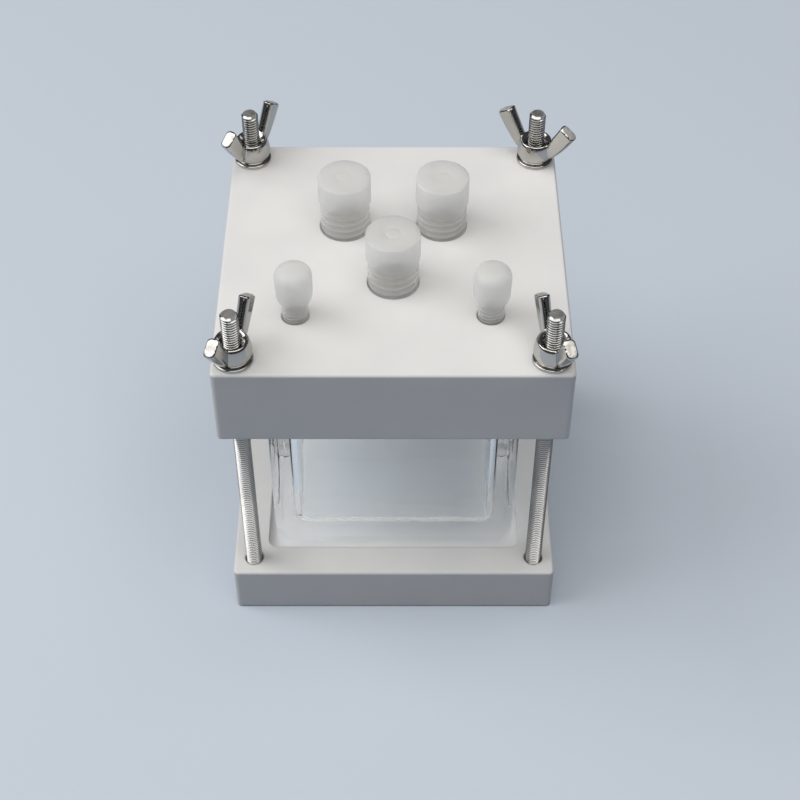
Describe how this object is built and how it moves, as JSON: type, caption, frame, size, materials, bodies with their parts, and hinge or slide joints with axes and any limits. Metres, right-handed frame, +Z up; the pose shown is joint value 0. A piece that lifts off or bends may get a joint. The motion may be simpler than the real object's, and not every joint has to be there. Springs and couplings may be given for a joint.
{
  "type": "electrochemical cell",
  "caption": "Sealed square electrochemical cell: a glass tank clamped between thick white plates by threaded rods and wing nuts, with translucent screw plugs in the lid.",
  "frame": {"origin": "middle of the base plate's underside, which the cell stands on", "axes": "+Z up, front towards -Y, +X to the right seen from the front"},
  "size_m": [0.0856, 0.0894, 0.0996],
  "materials": {
    "fluoropolymer": "machined white fluoropolymer, satin",
    "glass": "clear, thick, polished",
    "silicone": "translucent white silicone",
    "rod_steel": "rolled stainless thread",
    "polished_steel": "tumbled, polished stainless casting",
    "washer_steel": "stamped stainless",
    "nut_steel": "plain stainless",
    "plug_plastic": "translucent natural moulded plastic"
  },
  "bodies": {
    "cell": {"base_plate": "fluoropolymer", "glass_tank": "glass", "lid_gasket": "silicone", "lid_plate": "fluoropolymer", "rod_front_left": "rod_steel", "rod_front_right": "rod_steel", "rod_back_left": "rod_steel", "rod_back_right": "rod_steel", "base_nut_front_left": "nut_steel", "base_nut_front_right": "nut_steel", "base_nut_back_left": "nut_steel", "base_nut_back_right": "nut_steel"},
    "washer_front_left": {"washer_front_left": "washer_steel"},
    "wing_nut_front_left": {"wing_nut_front_left": "polished_steel"},
    "washer_front_right": {"washer_front_right": "washer_steel"},
    "wing_nut_front_right": {"wing_nut_front_right": "polished_steel"},
    "washer_back_left": {"washer_back_left": "washer_steel"},
    "wing_nut_back_left": {"wing_nut_back_left": "polished_steel"},
    "washer_back_right": {"washer_back_right": "washer_steel"},
    "wing_nut_back_right": {"wing_nut_back_right": "polished_steel"},
    "large_plug_back_left": {"large_plug_back_left": "plug_plastic"},
    "large_plug_back_right": {"large_plug_back_right": "plug_plastic"},
    "large_plug_centre": {"large_plug_centre": "plug_plastic"},
    "small_plug_left": {"small_plug_left": "plug_plastic"},
    "small_plug_right": {"small_plug_right": "plug_plastic"}
  },
  "joints": [
    {"name": "washer_front_left_lift", "type": "slide", "parent": "cell", "child": "washer_front_left", "axis": [0, 0, 1], "range_m": [0, 0.01261]},
    {"name": "wing_nut_front_left_turn", "type": "hinge", "parent": "washer_front_left", "child": "wing_nut_front_left", "pos_m": [-0.035, -0.035, 0.0858], "axis": [0, 0, 1], "range_deg": [0, 6480]},
    {"name": "washer_front_right_lift", "type": "slide", "parent": "cell", "child": "washer_front_right", "axis": [0, 0, 1], "range_m": [0, 0.01261]},
    {"name": "wing_nut_front_right_turn", "type": "hinge", "parent": "washer_front_right", "child": "wing_nut_front_right", "pos_m": [0.035, -0.035, 0.0858], "axis": [0, 0, 1], "range_deg": [0, 6480]},
    {"name": "washer_back_left_lift", "type": "slide", "parent": "cell", "child": "washer_back_left", "axis": [0, 0, 1], "range_m": [0, 0.01261]},
    {"name": "wing_nut_back_left_turn", "type": "hinge", "parent": "washer_back_left", "child": "wing_nut_back_left", "pos_m": [-0.035, 0.035, 0.0858], "axis": [0, 0, 1], "range_deg": [0, 6480]},
    {"name": "washer_back_right_lift", "type": "slide", "parent": "cell", "child": "washer_back_right", "axis": [0, 0, 1], "range_m": [0, 0.01261]},
    {"name": "wing_nut_back_right_turn", "type": "hinge", "parent": "washer_back_right", "child": "wing_nut_back_right", "pos_m": [0.035, 0.035, 0.0858], "axis": [0, 0, 1], "range_deg": [0, 6480]},
    {"name": "large_plug_back_left_lift", "type": "slide", "parent": "cell", "child": "large_plug_back_left", "axis": [0, 0, 1], "range_m": [0, 0.03]},
    {"name": "large_plug_back_right_lift", "type": "slide", "parent": "cell", "child": "large_plug_back_right", "axis": [0, 0, 1], "range_m": [0, 0.03]},
    {"name": "large_plug_centre_lift", "type": "slide", "parent": "cell", "child": "large_plug_centre", "axis": [0, 0, 1], "range_m": [0, 0.03]},
    {"name": "small_plug_left_lift", "type": "slide", "parent": "cell", "child": "small_plug_left", "axis": [0, 0, 1], "range_m": [0, 0.03]},
    {"name": "small_plug_right_lift", "type": "slide", "parent": "cell", "child": "small_plug_right", "axis": [0, 0, 1], "range_m": [0, 0.03]}
  ],
  "couplings": [
    {"joint": "washer_front_left_lift", "follows": "wing_nut_front_left_turn", "m_per_rad": 0.00011141},
    {"joint": "washer_front_right_lift", "follows": "wing_nut_front_right_turn", "m_per_rad": 0.00011141},
    {"joint": "washer_back_left_lift", "follows": "wing_nut_back_left_turn", "m_per_rad": 0.00011141},
    {"joint": "washer_back_right_lift", "follows": "wing_nut_back_right_turn", "m_per_rad": 0.00011141}
  ]
}
